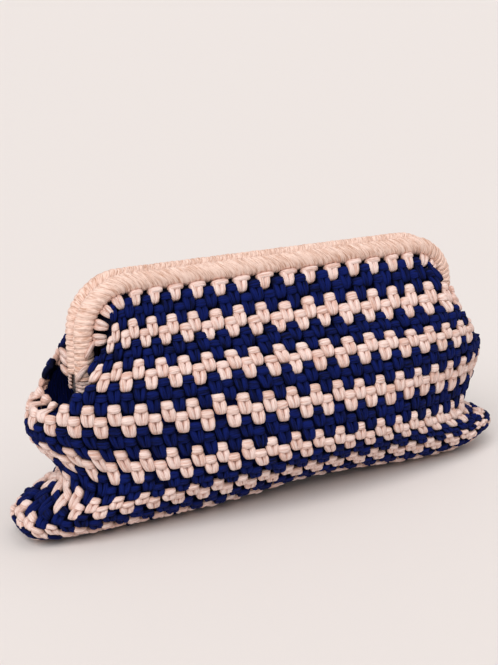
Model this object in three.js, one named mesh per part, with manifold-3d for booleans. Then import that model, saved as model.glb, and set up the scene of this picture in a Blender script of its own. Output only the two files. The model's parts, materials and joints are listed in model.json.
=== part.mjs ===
// Clutch bag: a crocheted pouch sewn to a hinged frame of two U-shaped half-frames wound with yarn.
// Units are millimetres, +Z is up, the front faces -Y, and the bag stands on z = 0 at the origin.
import * as THREE from 'three';
import { mergeVertices } from 'three/addons/utils/BufferGeometryUtils.js';
import Module from 'manifold-3d';

const wasm = await Module();
wasm.setup();

// Frame sizes
const FRAME_WIDTH = 280;        // outside of the wound legs
const FRAME_TOP = 164;          // top of the wound bar above the table
const CORNER_RADIUS = 30;       // bend of the rod at its two top corners, on its centre line
const HINGE_HEIGHT = 93;        // hinge axis above the table
const ROD_DIAMETER = 8;
const ROD_SIDES = 10;
const CORNER_STEPS = 8;
const SEAT_GAP = 0.3;           // gap between pieces that touch

// Yarn wound round the half-frames
const YARN_WALL = 2.15;         // thickness of the wound yarn, to the crest of a turn
const YARN_GROOVE = 0.75;       // depth of the groove between two turns
const YARN_PITCH = 4;           // spacing of the turns along the rod
const TURN_SIDES = 8;
const SPARE_TURNS = 3;          // turns past the rod's ends, which are cut off square

// Hinge sizes
const PLATE_THICKNESS = 2.5;    // hinge plate, brazed to a lap cut in the rod's end
const PLATE_RADIUS = 5;
const PLATE_NECK = 4.6;         // width of the plate where it lies on the rod
const PLATE_LAP = 6;            // length of that lap
const LEG_END = 8;              // the rod ends this far above the hinge axis
const RIVET_DIAMETER = 3;
const RIVET_HEAD_DIAMETER = 6.4;
const RIVET_HEAD = 1.2;
const WASHER_THICKNESS = 0.8;
const WASHER_DIAMETER = 8;
const HINGE_CLEARANCE = 0.3;    // radial clearance of the holes round the rivet
const ROUND_STEPS = 16;

// Pouch sizes
const FABRIC = 8;               // thickness of the crocheted fabric
const LINING = 0.8;             // thickness of the lining
const WALL_OVERHANG = 2.3;      // the wall's top edge stands this far in front of the bar
const LOOP_STEPS = 16;          // steps along half of a row, fold to fold
const BASE_STEPS = 12;          // steps up the base, up its hollow and up the walls
const HOLLOW_STEPS = 8;
const WALL_STEPS = 8;

// Rows of the pouch from the table up. Of each row, depth is the front's distance from the middle and
// height its height there, over is how far the side fold reaches past the legs and fold its height.
const SEAM_DEPTH = 13;
const SEAM_OVER = 32.45;
const FOOT_DEPTH = 28;
const FOOT_HEIGHT = 8;
const FOOT_OVER = 44.45;
const FOOT_FOLD = 6.5;
const TIP_DEPTH = 42.5;
const TIP_HEIGHT = 23.4;
const TIP_OVER = 45.45;
const TIP_FOLD = 19;
const BELLY_DEPTH = 56;
const BELLY_HEIGHT = 46.2;
const BELLY_OVER = 17.95;
const BELLY_FOLD = 38;
const RIM_DEPTH = 53.5;
const RIM_HEIGHT = 74.6;
const RIM_OVER = 36.45;
const RIM_FOLD = 70.5;
const HIP_DEPTH = 45;
const HIP_RISE = 9.4;           // the hip's and the shoulder's heights are measured from the hinge axis
const HIP_OVER = 23.95;
const HIP_FOLD_RISE = 8;
const SHOULDER_DEPTH = 31;
const SHOULDER_RISE = 30.6;
const SHOULDER_INSET = 1.55;    // the shoulder's fold lies this far inside the legs
const SHOULDER_FOLD_RISE = 24;
const TOP_LAP = 1.5;            // the top row's end lies this far under the leg's inner side
const TOP_SAG = 24;             // the top row droops this far, to stay under the frame's round corners
const TOP_SPREAD = 4;           // half the gap between the front and back halves at the top's ends
const SLOT_FOOT = 10;           // the fabric parts round a leg from this far above the hinge axis

// Rows of the hollow between its floor and the belly
const FLOOR_DEPTH = 13;
const FLOOR_HEIGHT = 8.5;
const FLOOR_OVER = 4.45;
const LOW_DEPTH = 29;
const LOW_HEIGHT = 17;
const LOW_OVER = 8.45;
const LOW_FOLD = 15;
const MID_DEPTH = 38;
const MID_HEIGHT = 28;
const MID_OVER = 9.45;
const MID_FOLD = 26;

// Roundness of the rows seen from above: 2 is an ellipse and a high value a box
const FOOT_ROUNDNESS = 4.5;
const TIP_ROUNDNESS = 3;
const HOLLOW_ROUNDNESS = 2.8;
const BELLY_ROUNDNESS = 2.1;
const HIP_ROUNDNESS = 3.4;
const SHOULDER_ROUNDNESS = 5.5;
const TOP_ROUNDNESS = 8;

// Values that follow from the sizes above
const ROD_RADIUS = ROD_DIAMETER / 2;
const BORE_RADIUS = ROD_RADIUS + SEAT_GAP;
const WOUND_RADIUS = BORE_RADIUS + YARN_WALL;
const HALF_OFFSET = WOUND_RADIUS + SEAT_GAP / 2;
const BAR_HEIGHT = FRAME_TOP - WOUND_RADIUS;
const LEG_X = FRAME_WIDTH / 2 - WOUND_RADIUS;
const LEG_BOTTOM = HINGE_HEIGHT + LEG_END;
const BAR_BOTTOM = BAR_HEIGHT - WOUND_RADIUS;
const PLATE_OFFSET = WASHER_THICKNESS / 2 + SEAT_GAP;
const HOLE_RADIUS = RIVET_DIAMETER / 2 + HINGE_CLEARANCE;
const RIVET_HALF = PLATE_OFFSET + PLATE_THICKNESS + SEAT_GAP;

function row(depth, height, reach, fold, roundness) {
  return { depth, height, reach, fold, roundness };
}

const BASE_ROWS = [
  row(SEAM_DEPTH, 0, LEG_X + SEAM_OVER, 0, FOOT_ROUNDNESS),
  row(FOOT_DEPTH, FOOT_HEIGHT, LEG_X + FOOT_OVER, FOOT_FOLD, FOOT_ROUNDNESS),
  row(TIP_DEPTH, TIP_HEIGHT, LEG_X + TIP_OVER, TIP_FOLD, TIP_ROUNDNESS),
  row(BELLY_DEPTH, BELLY_HEIGHT, LEG_X + BELLY_OVER, BELLY_FOLD, BELLY_ROUNDNESS),
  row(RIM_DEPTH, RIM_HEIGHT, LEG_X + RIM_OVER, RIM_FOLD, BELLY_ROUNDNESS),
];
const HIP_HEIGHT = HINGE_HEIGHT + HIP_RISE;
const HIP_FOLD = HINGE_HEIGHT + HIP_FOLD_RISE;
const SHOULDER_HEIGHT = HINGE_HEIGHT + SHOULDER_RISE;
const SHOULDER_FOLD = HINGE_HEIGHT + SHOULDER_FOLD_RISE;
const TOP_HEIGHT = BAR_BOTTOM - SEAT_GAP;
const TOP_DEPTH = HALF_OFFSET + WOUND_RADIUS + WALL_OVERHANG;
const WALL_ROWS = [
  row(HIP_DEPTH, HIP_HEIGHT, LEG_X + HIP_OVER, HIP_FOLD, HIP_ROUNDNESS),
  row(SHOULDER_DEPTH, SHOULDER_HEIGHT, LEG_X - SHOULDER_INSET, SHOULDER_FOLD, SHOULDER_ROUNDNESS),
  row(TOP_DEPTH, TOP_HEIGHT, LEG_X - WOUND_RADIUS + TOP_LAP, TOP_HEIGHT - TOP_SAG, TOP_ROUNDNESS),
];
const OUTER_ROWS = [...BASE_ROWS, ...WALL_ROWS];
const CAVITY_ROWS = [
  row(FLOOR_DEPTH, FLOOR_HEIGHT, LEG_X + FLOOR_OVER, FLOOR_HEIGHT, HOLLOW_ROUNDNESS),
  row(LOW_DEPTH, LOW_HEIGHT, LEG_X + LOW_OVER, LOW_FOLD, HOLLOW_ROUNDNESS),
  row(MID_DEPTH, MID_HEIGHT, LEG_X + MID_OVER, MID_FOLD, HOLLOW_ROUNDNESS),
  row(BELLY_DEPTH - FABRIC, BELLY_HEIGHT, LEG_X + BELLY_OVER - FABRIC, BELLY_FOLD, BELLY_ROUNDNESS),
  row(RIM_DEPTH - FABRIC, RIM_HEIGHT, LEG_X + RIM_OVER - FABRIC, RIM_FOLD, BELLY_ROUNDNESS),
];
const RIM_PLACE = BASE_ROWS.length - 1;
const HIP_PLACE = RIM_PLACE + 1;
const TOP_PLACE = OUTER_ROWS.length - 1;

// Materials
const yarnPale = { color: 0xf0d6c8, roughness: 0.85, metalness: 0 };
const yarnNavy = { color: 0x101c5a, roughness: 0.85, metalness: 0 };
const cottonLining = { color: 0x1a2146, roughness: 0.9, metalness: 0 };
const aluminium = { color: 0xb9bcc0, roughness: 0.4, metalness: 1 };
const steel = { color: 0x8d9095, roughness: 0.35, metalness: 1 };

function mesh(name, geometry, material) {
  const piece = new THREE.Mesh(geometry, new THREE.MeshStandardMaterial(material));
  piece.name = name;
  return piece;
}

// A smooth cubic through the rows' values: place is 0 at the first row, 1 at the second and so on.
function rowValue(rows, key, place) {
  const last = rows.length - 1;
  const index = Math.min(Math.floor(place), last - 1);
  const f = place - index;
  const at = (i) => rows[Math.min(Math.max(i, 0), last)][key];
  const slopeA = (at(index + 1) - at(index - 1)) / 2;
  const slopeB = (at(index + 2) - at(index)) / 2;
  const a = at(index);
  const b = at(index + 1);
  const cubic = 2 * a - 2 * b + slopeA + slopeB;
  const square = 3 * (b - a) - 2 * slopeA - slopeB;
  return ((cubic * f + square) * f + slopeA) * f + a;
}

// One point of a row: turn runs from -PI / 2 at the left fold over 0 at the front to PI / 2 at the right.
function rowPoint(rows, place, turn, wall = 0) {
  const reach = rowValue(rows, 'reach', place) - wall;
  const depth = rowValue(rows, 'depth', place) - wall;
  const roundness = rowValue(rows, 'roundness', place);
  const parting = Math.max(0, place - HIP_PLACE) / (TOP_PLACE - HIP_PLACE);
  const spread = THREE.MathUtils.lerp(SEAT_GAP / 2, TOP_SPREAD, parting);
  const across = Math.sin(turn);
  const droop = Math.pow(Math.abs(across), roundness);
  const round = Math.pow(Math.max(0, 1 - droop), 1 / roundness);
  const x = reach * across;
  const y = -(spread + (depth - spread) * round);
  const z = THREE.MathUtils.lerp(rowValue(rows, 'height', place), rowValue(rows, 'fold', place), droop);
  return new THREE.Vector3(x, y, z);
}

// Half a row, from the left fold to the right one, as points.
function halfRow(rows, place, wall = 0) {
  return places(-Math.PI / 2, Math.PI / 2, LOOP_STEPS).map((turn) => rowPoint(rows, place, turn, wall));
}

// A whole row: the front half and the same half turned round to the back.
function wholeRow(rows, place) {
  const front = halfRow(rows, place);
  const back = front.map((point) => new THREE.Vector3(-point.x, -point.y, point.z));
  return [...front, ...back];
}

function places(from, to, steps) {
  return Array.from({ length: steps + 1 }, (_, i) => from + ((to - from) * i) / steps);
}

function geometryOf(points, triangles) {
  const geometry = new THREE.BufferGeometry();
  geometry.setAttribute('position', new THREE.Float32BufferAttribute(points.flatMap((p) => p.toArray()), 3));
  geometry.setIndex(triangles.flat());
  geometry.computeVertexNormals();
  return geometry;
}

function quad(a, b, c, d) {
  return [[a, b, c], [a, c, d]];
}

// A closed bowl from rings of equal count: outer rings go up, inner rings come down again.
function bowl(outerRings, innerRings) {
  const rings = [...outerRings, ...[...innerRings].reverse()];
  const count = rings[0].length;
  const points = rings.flat();
  const triangles = [];
  for (let r = 0; r + 1 < rings.length; r += 1) {
    for (let i = 0; i < count; i += 1) {
      const next = (i + 1) % count;
      const corners = [r * count + i, r * count + next, (r + 1) * count + next, (r + 1) * count + i];
      // Inner faces are split along the same diagonal as outer ones, so that nested bowls stay apart.
      triangles.push(...quad(...(r < outerRings.length ? corners : [...corners.slice(1), corners[0]])));
    }
  }
  const middle = (ring) => ring.reduce((sum, p) => sum.add(p), new THREE.Vector3()).divideScalar(count);
  const under = points.push(middle(rings[0])) - 1;
  const floor = points.push(middle(rings[rings.length - 1])) - 1;
  const lastRing = (rings.length - 1) * count;
  for (let i = 0; i < count; i += 1) {
    const next = (i + 1) % count;
    triangles.push([under, next, i]);
    triangles.push([floor, lastRing + i, lastRing + next]);
  }
  return geometryOf(points, triangles);
}

// A closed panel between an outer and an inner grid of the same rows and columns.
function panel(outerGrid, innerGrid) {
  const rows = outerGrid.length;
  const columns = outerGrid[0].length;
  const points = [...outerGrid.flat(), ...innerGrid.flat()];
  const outer = (r, c) => r * columns + c;
  const inner = (r, c) => rows * columns + r * columns + c;
  const triangles = [];
  for (let r = 0; r + 1 < rows; r += 1) {
    for (let c = 0; c + 1 < columns; c += 1) {
      triangles.push(...quad(outer(r, c), outer(r, c + 1), outer(r + 1, c + 1), outer(r + 1, c)));
      triangles.push(...quad(inner(r, c), inner(r + 1, c), inner(r + 1, c + 1), inner(r, c + 1)));
    }
    const right = columns - 1;
    triangles.push(...quad(outer(r, 0), outer(r + 1, 0), inner(r + 1, 0), inner(r, 0)));
    triangles.push(...quad(outer(r, right), inner(r, right), inner(r + 1, right), outer(r + 1, right)));
  }
  const top = rows - 1;
  for (let c = 0; c + 1 < columns; c += 1) {
    triangles.push(...quad(outer(0, c), inner(0, c), inner(0, c + 1), outer(0, c + 1)));
    triangles.push(...quad(outer(top, c), outer(top, c + 1), inner(top, c + 1), inner(top, c)));
  }
  return geometryOf(points, triangles);
}

function solidOf(geometry) {
  const bare = geometry.clone();
  bare.deleteAttribute('normal');
  bare.deleteAttribute('uv');
  const merged = mergeVertices(bare, 1e-4);
  return new wasm.Manifold(new wasm.Mesh({
    numProp: 3,
    vertProperties: new Float32Array(merged.attributes.position.array),
    triVerts: new Uint32Array(merged.index.array),
  }));
}

function geometryFromSolid(solid) {
  const result = solid.getMesh();
  const geometry = new THREE.BufferGeometry();
  geometry.setAttribute('position', new THREE.Float32BufferAttribute(result.vertProperties, 3));
  geometry.setIndex(Array.from(result.triVerts));
  geometry.computeVertexNormals();
  return geometry;
}

// Lengths of the half-frame's centre line between the two leg ends, in the plane y = 0
const LEG_RUN = BAR_HEIGHT - CORNER_RADIUS - LEG_BOTTOM;
const CORNER_RUN = (CORNER_RADIUS * Math.PI) / 2;
const BAR_RUN = 2 * (LEG_X - CORNER_RADIUS);
const FRAME_RUN = 2 * LEG_RUN + 2 * CORNER_RUN + BAR_RUN;

// The centre line at a distance along it from the left leg's end: its place and its outward normal.
function framePoint(along) {
  if (along > FRAME_RUN / 2) {
    const mirrored = framePoint(FRAME_RUN - along);
    mirrored.place.x *= -1;
    mirrored.outward.x *= -1;
    return mirrored;
  }
  const bend = THREE.MathUtils.clamp((along - LEG_RUN) / CORNER_RADIUS, 0, Math.PI / 2);
  const outward = new THREE.Vector3(-Math.cos(bend), 0, Math.sin(bend));
  const place = new THREE.Vector3(CORNER_RADIUS - LEG_X, 0, BAR_HEIGHT - CORNER_RADIUS);
  place.addScaledVector(outward, CORNER_RADIUS);
  place.z += Math.min(0, along - LEG_RUN);
  place.x += Math.max(0, along - LEG_RUN - CORNER_RUN);
  return { place, outward };
}

// A point on a round of the given radius about the front half's rod; angle 0 is the outside of the U.
function aroundFrame(along, radius, angle) {
  const { place, outward } = framePoint(along);
  place.addScaledVector(outward, radius * Math.cos(angle));
  place.y -= radius * Math.sin(angle) + HALF_OFFSET;
  return place;
}

function frameRing(along, radius, sides) {
  return places(0, 2 * Math.PI, sides).slice(1).map((angle) => aroundFrame(along, radius, angle));
}

// A solid round tube along the front half's rod, past both leg ends by the given length.
function frameTube(radius, sides, past = 0) {
  const left = [-past, ...places(LEG_RUN, LEG_RUN + CORNER_RUN, CORNER_STEPS)];
  const stations = [...left, ...left.map((along) => FRAME_RUN - along).reverse()];
  const rings = stations.map((along) => frameRing(along, radius, sides));
  const triangles = [];
  for (let r = 0; r + 1 < rings.length; r += 1) {
    for (let i = 0; i < sides; i += 1) {
      const next = (i + 1) % sides;
      triangles.push(...quad(r * sides + i, r * sides + next, (r + 1) * sides + next, (r + 1) * sides + i));
    }
  }
  const last = (rings.length - 1) * sides;
  for (let i = 1; i + 1 < sides; i += 1) {
    triangles.push([0, i + 1, i]);
    triangles.push([last, last + i, last + i + 1]);
  }
  return solidOf(geometryOf(rings.flat(), triangles));
}

// The same with the flats of its section, not its edges, at the given radius, to clear something round.
function clearTube(radius, past) {
  return frameTube(radius / Math.cos(Math.PI / TURN_SIDES), TURN_SIDES, past);
}

// One hinge plate of the front half: it lies on the lap at the rod's end and reaches down to the rivet.
function hingePlate(x) {
  const inner = PLATE_NECK / 2 - HALF_OFFSET;
  const outer = -PLATE_NECK / 2 - HALF_OFFSET;
  const top = LEG_BOTTOM + PLATE_LAP - SEAT_GAP;
  const outline = new THREE.Shape();
  outline.moveTo(outer, top);
  outline.lineTo(outer, LEG_BOTTOM);
  outline.lineTo(-PLATE_RADIUS, HINGE_HEIGHT);
  outline.absarc(0, HINGE_HEIGHT, PLATE_RADIUS, Math.PI, 2 * Math.PI, false);
  outline.lineTo(inner, LEG_BOTTOM);
  outline.lineTo(inner, top);
  outline.closePath();
  const hole = new THREE.Path();
  hole.absarc(0, HINGE_HEIGHT, HOLE_RADIUS / Math.cos(Math.PI / ROUND_STEPS), 0, 2 * Math.PI, true);
  outline.holes.push(hole);
  const settings = { depth: PLATE_THICKNESS, bevelEnabled: false, curveSegments: ROUND_STEPS / 2 };
  const plate = new THREE.ExtrudeGeometry(outline, settings);
  // The outline's axes become Y and Z, and the plate's thickness runs along X.
  plate.rotateX(Math.PI / 2);
  plate.rotateZ(Math.PI / 2);
  return plate.translate(x + PLATE_OFFSET, 0, 0);
}

// The part of a leg's end that is cut away for its hinge plate.
function lapCut(x) {
  const cut = new THREE.BoxGeometry(ROD_DIAMETER, 2 * ROD_DIAMETER, 2 * PLATE_LAP);
  cut.translate(x + PLATE_OFFSET - SEAT_GAP + ROD_RADIUS, -HALF_OFFSET, LEG_BOTTOM);
  return solidOf(cut);
}

// One half-frame's rod: the bent round rod with a lap at each end.
function frameRod() {
  const rod = frameTube(ROD_RADIUS, ROD_SIDES);
  return geometryFromSolid(rod.subtract(lapCut(-LEG_X)).subtract(lapCut(LEG_X)));
}

// Yarn wound on a half-frame. Crest and groove of the turns are two helices half a pitch apart, joined
// by two strips into a long screw that runs past both leg ends. It is cut square there and bored for
// the rod.
function woundYarn() {
  const step = YARN_PITCH / TURN_SIDES;
  const last = TURN_SIDES * Math.ceil(FRAME_RUN / YARN_PITCH + SPARE_TURNS);
  const start = (FRAME_RUN - last * step) / 2;
  const points = [];
  for (const [radius, lag] of [[WOUND_RADIUS, 0], [WOUND_RADIUS - YARN_GROOVE, YARN_PITCH / 2]]) {
    for (let n = 0; n <= last; n += 1) {
      points.push(aroundFrame(start + lag + n * step, radius, (2 * Math.PI * n) / TURN_SIDES));
    }
  }
  const crest = (n) => n;
  const groove = (n) => last + 1 + n;
  const triangles = [];
  for (let n = 0; n < last; n += 1) {
    triangles.push(...quad(crest(n), crest(n + 1), groove(n + 1), groove(n)));
    if (n + TURN_SIDES < last) {
      const next = n + TURN_SIDES;
      triangles.push(...quad(groove(n), groove(n + 1), crest(next + 1), crest(next)));
    }
  }
  const turn = places(0, TURN_SIDES, TURN_SIDES);
  const leftRim = [...turn.map(crest), groove(0)];
  const rightRim = [...turn.map((n) => groove(last - n)), crest(last)];
  for (const [rimLoop, along] of [[leftRim, start], [rightRim, FRAME_RUN - start]]) {
    const middle = points.push(aroundFrame(along, 0, 0)) - 1;
    rimLoop.forEach((a, i) => triangles.push([middle, rimLoop[(i + 1) % rimLoop.length], a]));
  }
  const screw = solidOf(geometryOf(points, triangles));
  const squareEnds = clearTube(WOUND_RADIUS + YARN_WALL, 0);
  const bore = clearTube(BORE_RADIUS, YARN_PITCH);
  return geometryFromSolid(screw.intersect(squareEnds).subtract(bore));
}

// The slot in which the front fabric leaves room for a leg.
function legSlot(x) {
  const foot = HINGE_HEIGHT + SLOT_FOOT;
  const width = 2 * (WOUND_RADIUS + SEAT_GAP);
  const slot = new THREE.BoxGeometry(width, 2 * RIM_DEPTH, FRAME_TOP - foot);
  slot.translate(x, -RIM_DEPTH, (FRAME_TOP + foot) / 2);
  return solidOf(slot);
}

// A layer of the front half above the base's rim, between two depths under the outer surface.
function frontLayer(from, to) {
  const seam = SEAT_GAP / (HIP_HEIGHT - RIM_HEIGHT);
  const levels = places(RIM_PLACE + seam, TOP_PLACE, WALL_STEPS);
  const outer = levels.map((place) => halfRow(OUTER_ROWS, place, from));
  const inner = levels.map((place) => halfRow(OUTER_ROWS, place, to));
  return geometryFromSolid(solidOf(panel(outer, inner)).subtract(legSlot(-LEG_X)).subtract(legSlot(LEG_X)));
}

// Rows of the hollow drawn in by a clearance, which lifts the floor and fades out at the rim.
function hollowRings(clear) {
  const top = CAVITY_ROWS.length - 1;
  const rows = CAVITY_ROWS.map((wide, index) => {
    const lift = clear * (1 - index / top);
    return row(wide.depth - clear, wide.height + lift, wide.reach - clear, wide.fold + lift, wide.roundness);
  });
  return places(0, top, HOLLOW_STEPS).map((place) => wholeRow(rows, place));
}

function pouchBase() {
  const outer = places(0, RIM_PLACE, BASE_STEPS).map((place) => wholeRow(OUTER_ROWS, place));
  return bowl(outer, hollowRings(0));
}

function baseLining() {
  return bowl(hollowRings(SEAT_GAP), hollowRings(SEAT_GAP + LINING));
}

// A rivet along X with a head at each end, outside the two ears.
function hingeRivet() {
  const shank = RIVET_DIAMETER / 2;
  const head = RIVET_HEAD_DIAMETER / 2;
  const end = RIVET_HALF + RIVET_HEAD;
  const profile = [[0, -end], [head, -end], [head, -RIVET_HALF], [shank, -RIVET_HALF],
    [shank, RIVET_HALF], [head, RIVET_HALF], [head, end], [0, end]];
  const points = profile.map(([radius, x]) => new THREE.Vector2(radius, x));
  return new THREE.LatheGeometry(points, ROUND_STEPS).rotateZ(-Math.PI / 2);
}

// The washer between the two ears.
function hingeWasher() {
  const hole = HOLE_RADIUS / Math.cos(Math.PI / ROUND_STEPS);
  const edge = WASHER_DIAMETER / 2;
  const half = WASHER_THICKNESS / 2;
  const profile = [[hole, -half], [edge, -half], [edge, half], [hole, half], [hole, -half]];
  const points = profile.map(([radius, x]) => new THREE.Vector2(radius, x));
  return new THREE.LatheGeometry(points, ROUND_STEPS).rotateZ(-Math.PI / 2);
}

// The front half, or the back one before it is turned round; its sides are named as they end up.
function frontHalf(name, leftSide, rightSide) {
  const half = new THREE.Group();
  half.add(mesh(`${name}_frame_rod`, frameRod(), aluminium));
  half.add(mesh(`${name}_${leftSide}_hinge_plate`, hingePlate(-LEG_X), aluminium));
  half.add(mesh(`${name}_${rightSide}_hinge_plate`, hingePlate(LEG_X), aluminium));
  half.add(mesh(`${name}_frame_wrap`, woundYarn(), yarnPale));
  half.add(mesh(`${name}_wall`, frontLayer(0, FABRIC), yarnNavy));
  const lining = FABRIC + SEAT_GAP;
  half.add(mesh(`${name}_lining`, frontLayer(lining, lining + LINING), cottonLining));
  return half;
}

function hinge(side, x) {
  const group = new THREE.Group();
  group.add(mesh(`${side}_hinge_rivet`, hingeRivet(), steel));
  group.add(mesh(`${side}_hinge_washer`, hingeWasher(), steel));
  group.position.set(x, 0, HINGE_HEIGHT);
  return group;
}

const bag = new THREE.Group();
bag.add(mesh('pouch_base', pouchBase(), yarnNavy));
bag.add(mesh('base_lining', baseLining(), cottonLining));
bag.add(frontHalf('front', 'left', 'right'));
const back = frontHalf('back', 'right', 'left');
back.rotation.z = Math.PI;
bag.add(back);
bag.add(hinge('left', -LEG_X));
bag.add(hinge('right', LEG_X));

export default bag;
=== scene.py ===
"""Crocheted clutch bag: a striped pouch in moss stitch, sewn to a hinged frame that is wound with yarn.

Lengths in the formulas are millimetres in the part's own frame (front faces -Y, +Z up, standing on z = 0),
and every mesh is written in metres.
"""
import json
import math

import bpy
import numpy as np
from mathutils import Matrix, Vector


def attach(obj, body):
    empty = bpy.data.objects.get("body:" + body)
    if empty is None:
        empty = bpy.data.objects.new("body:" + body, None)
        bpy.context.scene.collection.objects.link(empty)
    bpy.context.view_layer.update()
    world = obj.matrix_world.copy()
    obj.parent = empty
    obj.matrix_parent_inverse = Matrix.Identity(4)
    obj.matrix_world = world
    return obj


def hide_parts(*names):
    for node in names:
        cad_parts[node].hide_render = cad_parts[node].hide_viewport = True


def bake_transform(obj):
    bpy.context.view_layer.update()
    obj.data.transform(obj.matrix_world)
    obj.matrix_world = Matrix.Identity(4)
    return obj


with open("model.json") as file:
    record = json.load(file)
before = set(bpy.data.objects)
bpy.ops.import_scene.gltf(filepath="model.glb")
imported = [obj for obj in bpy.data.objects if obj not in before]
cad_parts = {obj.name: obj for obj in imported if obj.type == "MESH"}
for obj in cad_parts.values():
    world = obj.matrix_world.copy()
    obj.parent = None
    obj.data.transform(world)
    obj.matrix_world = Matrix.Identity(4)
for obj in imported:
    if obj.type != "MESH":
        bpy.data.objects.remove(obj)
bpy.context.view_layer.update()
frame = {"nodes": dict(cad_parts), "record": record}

bl_info = {
    "name": "Crocheted clutch bag",
    "version": (1, 0, 0),
    "blender": (4, 5, 0),
    "location": "View3D > Sidebar > Clutch bag",
    "description": "Lays the stitches of a crocheted pouch and winds the yarn on its hinged frame",
    "category": "Object",
}

MM = 0.001


def linear(hex_colour):
    """sRGB hex to linear RGBA: the standard curve, straight under 0.04045 and a 2.4 power above it."""
    srgb = np.array([int(hex_colour[i:i + 2], 16) / 255 for i in (1, 3, 5)])
    light = np.where(srgb <= 0.04045, srgb / 12.92, ((srgb + 0.055) / 1.055) ** 2.4)
    return (*light.tolist(), 1.0)


# Sizes and colours

COLOUR = {"subtype": "COLOR", "size": 4}


class ClutchPouchSettings(bpy.types.PropertyGroup):
    columns: bpy.props.IntProperty(
        name="Columns", description="Stitch columns from one side fold to the other", default=46)
    column_width: bpy.props.FloatProperty(
        name="Column width", description="Width of a column", default=0.00845, unit="LENGTH")
    yarn_depth: bpy.props.FloatProperty(
        name="Yarn depth", description="Half the depth of the yarn in a stitch", default=0.0022,
        unit="LENGTH")
    row_tilt: bpy.props.FloatProperty(
        name="Row tilt", description="Drop of the rows towards the right, per length", default=0.046)
    unevenness: bpy.props.FloatProperty(
        name="Unevenness", description="Share by which hand-made stitches differ", default=0.06,
        subtype="FACTOR")
    navy: bpy.props.FloatVectorProperty(
        name="Navy yarn", description="Colour of the dark rows", default=linear("#09195B"), **COLOUR)
    # Painted shade: the navy and pale fold colours are the dark colours laid in the yarns' folds and
    # creases.
    navy_fold_shade: bpy.props.FloatVectorProperty(
        name="Navy folds", description="Colour in the folds of the dark yarn",
        default=linear("#01041E"), **COLOUR)
    pale: bpy.props.FloatVectorProperty(
        name="Pale yarn", description="Colour of the light rows", default=linear("#F3DBD3"), **COLOUR)
    pale_fold_shade: bpy.props.FloatVectorProperty(
        name="Pale folds", description="Colour in the folds of the light yarn",
        default=linear("#D6AC9C"), **COLOUR)
    lining: bpy.props.FloatVectorProperty(
        name="Lining", description="Colour of the cotton lining", default=linear("#0B1030"), **COLOUR)


class ClutchFrameSettings(bpy.types.PropertyGroup):
    turn_width: bpy.props.FloatProperty(
        name="Turn width", description="Width of one turn of the wound yarn", default=0.0036,
        unit="LENGTH")
    turn_depth: bpy.props.FloatProperty(
        name="Turn depth", description="Depth of the groove between two turns", default=0.0008,
        unit="LENGTH")
    knot_spacing: bpy.props.FloatProperty(
        name="Knot spacing", description="Spacing of the edge stitches round a corner", default=0.0115,
        unit="LENGTH")
    winding: bpy.props.FloatVectorProperty(
        name="Winding", description="Colour of the wound yarn", default=linear("#F7D9CB"), **COLOUR)
    # Painted shade: the winding's fold colour is the dark colour laid between its strands.
    winding_fold_shade: bpy.props.FloatVectorProperty(
        name="Winding folds", description="Colour between the strands of the wound yarn",
        default=linear("#C99B84"), **COLOUR)
    aluminium: bpy.props.FloatVectorProperty(
        name="Rods", description="Colour of the rods and the hinge plates",
        default=linear("#C9CBCE"), **COLOUR)
    steel: bpy.props.FloatVectorProperty(
        name="Rivets", description="Colour of the rivets and the washers",
        default=linear("#A3A5A8"), **COLOUR)


class ClutchStageSettings(bpy.types.PropertyGroup):
    floor: bpy.props.FloatVectorProperty(
        name="Floor", description="Colour of the floor", default=linear("#E2DCD9"), **COLOUR)
    azimuth: bpy.props.FloatProperty(
        name="Azimuth", description="How far the camera stands to the left", default=math.radians(28.25),
        subtype="ANGLE")
    elevation: bpy.props.FloatProperty(
        name="Elevation", description="How far the camera looks down", default=math.radians(17.49),
        subtype="ANGLE")
    distance: bpy.props.FloatProperty(
        name="Distance", description="From the camera to the point it looks at", default=0.78725,
        unit="LENGTH")
    aim: bpy.props.FloatVectorProperty(
        name="Aim", description="Point that the camera looks at", default=(-0.01642, 0.0, 0.11116),
        subtype="TRANSLATION", unit="LENGTH")
    lens: bpy.props.FloatProperty(
        name="Lens", description="Focal length on a sensor of 36 mm", default=64.96)
    key_light: bpy.props.FloatProperty(
        name="Key light", description="Strength of the sun from the front left", default=2.2)
    fill_light: bpy.props.FloatProperty(
        name="Fill light", description="Strength of the sun from the front right", default=0.68)
    glow: bpy.props.FloatProperty(
        name="Glow", description="Strength of the light from all round", default=0.55)


# The pouch's shape

# Rows from the table up: depth of the front, its height, reach of the side fold, its height, roundness of
# the row seen from above, and how late along the row its height turns into the fold's.
OUTER_ROWS = np.array([
    (13.0, 0.0, 166.0, 0.0, 4.5, 4.5),
    (28.0, 8.0, 178.0, 6.5, 4.5, 4.5),
    (42.5, 23.4, 179.0, 19.0, 3.0, 3.0),
    (56.0, 46.2, 151.5, 38.0, 2.1, 2.1),
    (53.5, 74.6, 170.0, 70.5, 2.1, 2.1),
    (45.0, 102.4, 157.5, 101.0, 3.4, 3.4),
    (31.0, 123.6, 132.0, 117.0, 5.5, 12.0),
    (15.35, 150.8, 128.6, 138.0, 8.0, 24.0),
    (12.6, 156.4, 127.5, 143.0, 8.0, 24.0),
])
HIP_ROW, TOP_ROW = 5, 7
# How far each half stands off the middle plane at the top row, from nothing at the hip.
TOP_SPREAD = 4.0
# The arch of the bottom between the ears: rise, middle and half-length along X, and height.
ARCH_RISE = 5.0
ARCH_CENTRE = 25.0
ARCH_REACH = 95.0
ARCH_HEIGHT = 45.0
# The right ear's curl: how far up, and where along X.
EAR_CURL = 8.0
EAR_CURL_X = (140.0, 180.0)
# The full neck over the right ear: how far out, and where along X and up it sets in and ends.
NECK_FULL = 7.0
NECK_X = (105.0, 150.0)
NECK_RISE = (15.0, 42.0)
NECK_FALL = (42.0, 72.0)
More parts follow.
